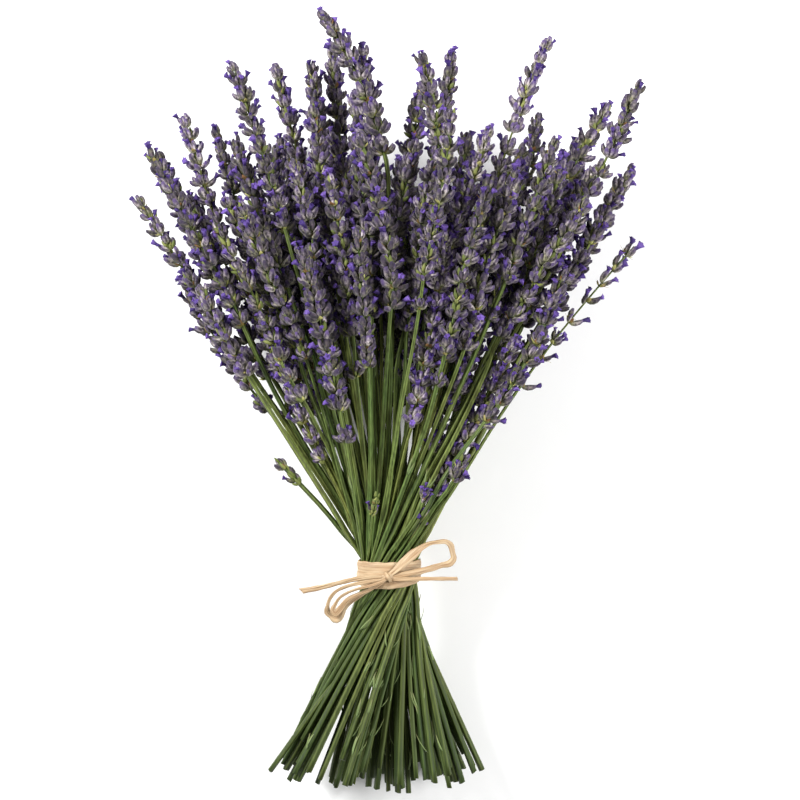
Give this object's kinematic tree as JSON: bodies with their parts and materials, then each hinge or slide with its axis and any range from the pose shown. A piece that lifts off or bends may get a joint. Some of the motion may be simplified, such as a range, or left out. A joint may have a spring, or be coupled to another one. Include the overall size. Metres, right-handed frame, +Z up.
{
  "type": "bunch of dried lavender",
  "caption": "Hand-tied bunch of dried lavender lying on a surface: spiralled green stems fan out to violet flower spikes above and cut ends below a raffia tie with a small bow.",
  "frame": {"origin": "middle of the bunch's box, on the surface it lies on", "axes": "+Y along the bunch from the cut ends to the flower spikes, +Z up from the surface, +X across the fan to the right of someone who looks down on it with the spikes away from them"},
  "size_m": [0.255, 0.3978, 0.109],
  "materials": {
    "dried_lavender": "matt dry plant: ribbed green stems, woolly grey-violet calyces, violet flowers",
    "raffia": "satin, fine lengthwise fibres"
  },
  "bodies": {
    "root": {"sprig_01": "dried_lavender", "sprig_02": "dried_lavender", "sprig_03": "dried_lavender", "sprig_04": "dried_lavender", "sprig_05": "dried_lavender", "sprig_06": "dried_lavender", "sprig_07": "dried_lavender", "sprig_08": "dried_lavender", "sprig_09": "dried_lavender", "sprig_10": "dried_lavender", "sprig_11": "dried_lavender", "sprig_12": "dried_lavender", "sprig_13": "dried_lavender", "sprig_14": "dried_lavender", "sprig_15": "dried_lavender", "sprig_16": "dried_lavender", "sprig_17": "dried_lavender", "sprig_18": "dried_lavender", "sprig_19": "dried_lavender", "sprig_20": "dried_lavender", "sprig_21": "dried_lavender", "sprig_22": "dried_lavender", "sprig_23": "dried_lavender", "sprig_24": "dried_lavender", "sprig_25": "dried_lavender", "sprig_26": "dried_lavender", "sprig_27": "dried_lavender", "sprig_28": "dried_lavender", "sprig_29": "dried_lavender", "sprig_30": "dried_lavender", "sprig_31": "dried_lavender", "sprig_32": "dried_lavender", "sprig_33": "dried_lavender", "sprig_34": "dried_lavender", "sprig_35": "dried_lavender", "sprig_36": "dried_lavender", "sprig_37": "dried_lavender", "sprig_38": "dried_lavender", "sprig_39": "dried_lavender", "sprig_40": "dried_lavender", "sprig_41": "dried_lavender", "sprig_42": "dried_lavender", "sprig_43": "dried_lavender", "sprig_44": "dried_lavender", "sprig_45": "dried_lavender", "sprig_46": "dried_lavender", "sprig_47": "dried_lavender", "sprig_48": "dried_lavender", "sprig_49": "dried_lavender", "sprig_50": "dried_lavender", "sprig_51": "dried_lavender", "sprig_52": "dried_lavender", "sprig_53": "dried_lavender", "sprig_54": "dried_lavender", "raffia_band": "raffia", "raffia_loop_right": "raffia", "raffia_tail_right": "raffia", "raffia_tail_left": "raffia", "raffia_loop_left": "raffia", "raffia_loop_inner": "raffia"}
  },
  "joints": []
}
